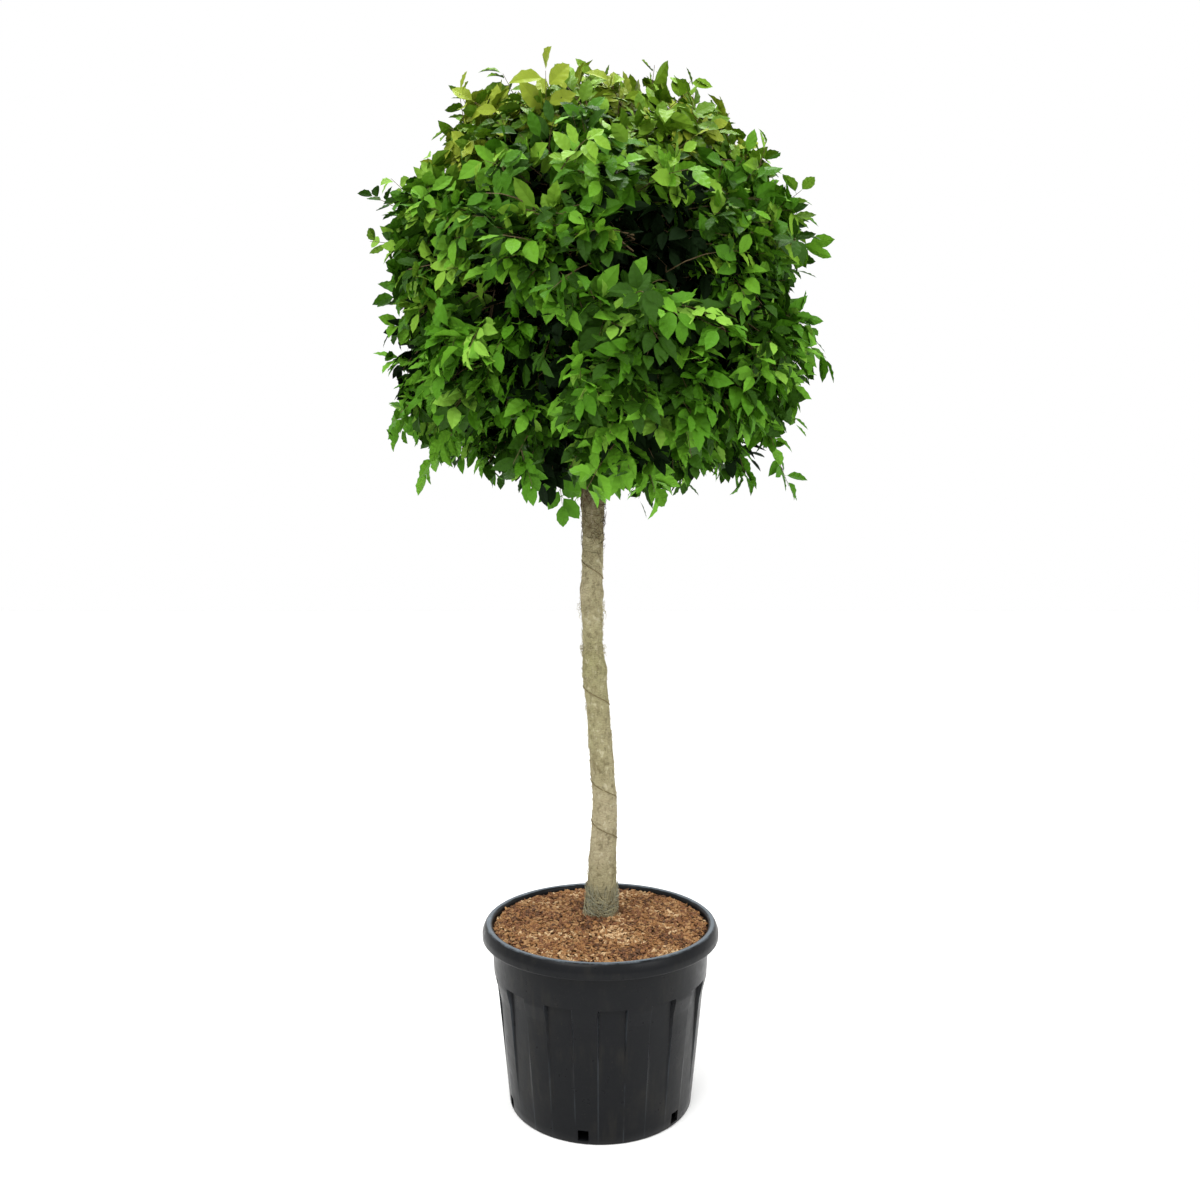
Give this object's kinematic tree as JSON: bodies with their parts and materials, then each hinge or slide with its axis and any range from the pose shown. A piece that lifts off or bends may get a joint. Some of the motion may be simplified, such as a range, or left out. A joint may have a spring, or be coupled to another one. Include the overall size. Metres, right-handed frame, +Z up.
{
  "type": "standard lollipop topiary in a nursery pot",
  "caption": "Clipped hornbeam ball on a clear wrapped stem, standing in a round ribbed black nursery pot filled with bark mulch.",
  "frame": {"origin": "centre of the pot's flat underside", "axes": "+Z up along the plant's height, -Y towards the front, +X to the right seen from the front"},
  "size_m": [0.9628, 0.9766, 2.192],
  "materials": {
    "pot_plastic": "black satin moulded plastic, scuffed and dusty",
    "bark_mulch": "loose bark and coir chips, tan to dark brown",
    "bark": "dull grey-brown bark",
    "stem_wrap": "straw-coloured coir strip wound in a spiral, blotched and fuzzy",
    "wrap_tie": "dark twine",
    "foliage_lower": "deep green leaves, hanging tips down",
    "foliage_middle": "mid green leaves",
    "foliage_upper": "yellow-green young leaves",
    "foliage_crest": "yellow-green young leaves and new shoots"
  },
  "bodies": {
    "root": {"pot": "pot_plastic", "growing_medium": "bark_mulch", "trunk": "bark", "stem_wrap": "stem_wrap", "wrap_tie": "wrap_tie", "bough_lower_1": "bark", "bough_lower_2": "bark", "bough_lower_3": "bark", "bough_lower_4": "bark", "bough_lower_5": "bark", "bough_lower_6": "bark", "bough_middle_1": "bark", "bough_middle_2": "bark", "bough_middle_3": "bark", "bough_middle_4": "bark", "bough_middle_5": "bark", "bough_middle_6": "bark", "bough_upper_1": "bark", "bough_upper_2": "bark", "bough_upper_3": "bark", "bough_upper_4": "bark", "foliage_crest": "foliage_crest", "foliage_lower_1": "foliage_lower", "foliage_lower_2": "foliage_lower", "foliage_lower_3": "foliage_lower", "foliage_lower_4": "foliage_lower", "foliage_lower_5": "foliage_lower", "foliage_lower_6": "foliage_lower", "foliage_middle_1": "foliage_middle", "foliage_middle_2": "foliage_middle", "foliage_middle_3": "foliage_middle", "foliage_middle_4": "foliage_middle", "foliage_middle_5": "foliage_middle", "foliage_middle_6": "foliage_middle", "foliage_upper_1": "foliage_upper", "foliage_upper_2": "foliage_upper", "foliage_upper_3": "foliage_upper", "foliage_upper_4": "foliage_upper"}
  },
  "joints": []
}
